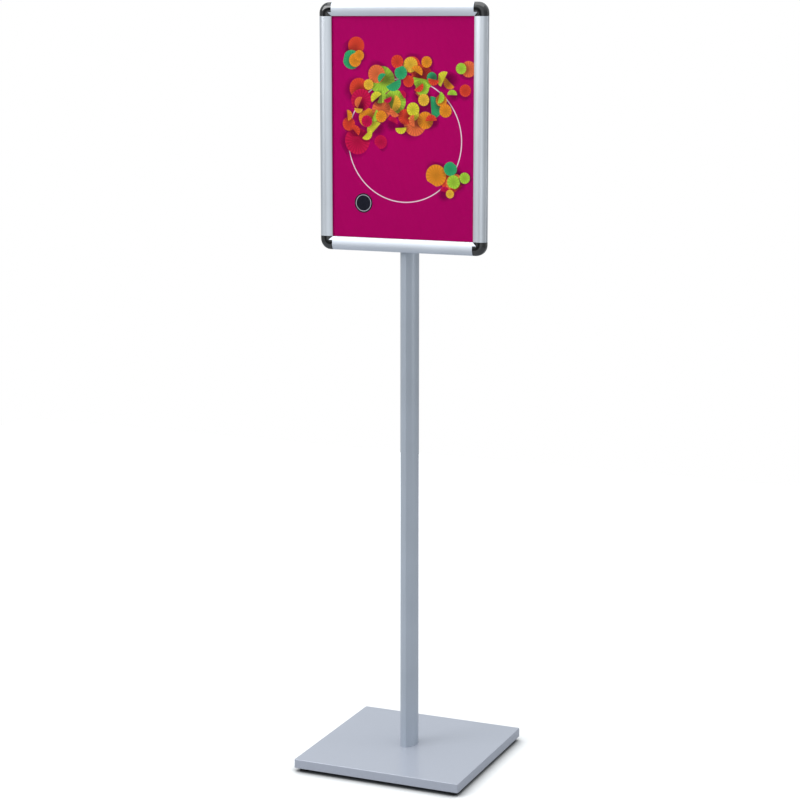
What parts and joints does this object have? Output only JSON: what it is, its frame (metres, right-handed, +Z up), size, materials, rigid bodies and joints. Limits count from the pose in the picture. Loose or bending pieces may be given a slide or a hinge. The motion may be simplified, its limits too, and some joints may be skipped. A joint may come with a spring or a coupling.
{
  "type": "poster stand",
  "caption": "Poster stand with a snap frame for one sheet that turns between upright and sideways on an oval pole over a weighted square base.",
  "frame": {"origin": "on the floor at the middle of the square base", "axes": "+Z up along the pole, -Y the way the poster faces, +X to the right seen from the front"},
  "size_m": [0.334, 0.334, 1.438],
  "materials": {
    "silver_coat": "fine silver powder coat",
    "pole_silver": "satin silver",
    "rail_aluminium": "satin anodised",
    "corner_black": "glossy black",
    "foot_rubber": "black",
    "plain_steel": "rolled",
    "zinc_steel": "zinc plated",
    "grey_plastic": "matte grey",
    "black_plastic": "matte black",
    "bush_nylon": "plain",
    "panel_plastic": "matte white",
    "poster_print": "printed",
    "clear_sheet": "clear"
  },
  "bodies": {
    "stand": {"ballast_plate": "plain_steel", "base_cover": "silver_coat", "clamp_screws": "zinc_steel", "feet": "foot_rubber", "pivot_bush": "bush_nylon", "pole": "pole_silver", "pole_bolts": "zinc_steel", "pole_cap": "grey_plastic", "swivel_clamp": "black_plastic", "swivel_head": "black_plastic"},
    "frame": {"back_panel": "panel_plastic", "base_rail_bottom": "rail_aluminium", "base_rail_left": "rail_aluminium", "base_rail_right": "rail_aluminium", "base_rail_top": "rail_aluminium", "clear_cover": "clear_sheet", "corner_brackets": "zinc_steel", "corner_caps": "corner_black", "cross_bar": "zinc_steel", "lock_nut": "zinc_steel", "pivot_stud": "zinc_steel", "poster": "poster_print", "snap_springs": "zinc_steel", "stop_pin": "zinc_steel", "thrust_washer": "zinc_steel"},
    "snap_rail_top": {"snap_rail_top": "rail_aluminium"},
    "snap_rail_bottom": {"snap_rail_bottom": "rail_aluminium"},
    "snap_rail_left": {"snap_rail_left": "rail_aluminium"},
    "snap_rail_right": {"snap_rail_right": "rail_aluminium"}
  },
  "joints": [
    {"name": "frame_turn", "type": "hinge", "parent": "stand", "child": "frame", "pos_m": [0, 0, 1.2115], "axis": [0, 1, 0], "range_deg": [0, 90]},
    {"name": "snap_rail_top_open", "type": "hinge", "parent": "frame", "child": "snap_rail_top", "pos_m": [0, -0.0354, 1.43515], "axis": [-1, 0, 0], "range_deg": [0, 85]},
    {"name": "snap_rail_bottom_open", "type": "hinge", "parent": "frame", "child": "snap_rail_bottom", "pos_m": [0, -0.0354, 0.98785], "axis": [1, 0, 0], "range_deg": [0, 85]},
    {"name": "snap_rail_left_open", "type": "hinge", "parent": "frame", "child": "snap_rail_left", "pos_m": [-0.16215, -0.0354, 1.2115], "axis": [0, 0, -1], "range_deg": [0, 85]},
    {"name": "snap_rail_right_open", "type": "hinge", "parent": "frame", "child": "snap_rail_right", "pos_m": [0.16215, -0.0354, 1.2115], "axis": [0, 0, 1], "range_deg": [0, 85]}
  ]
}
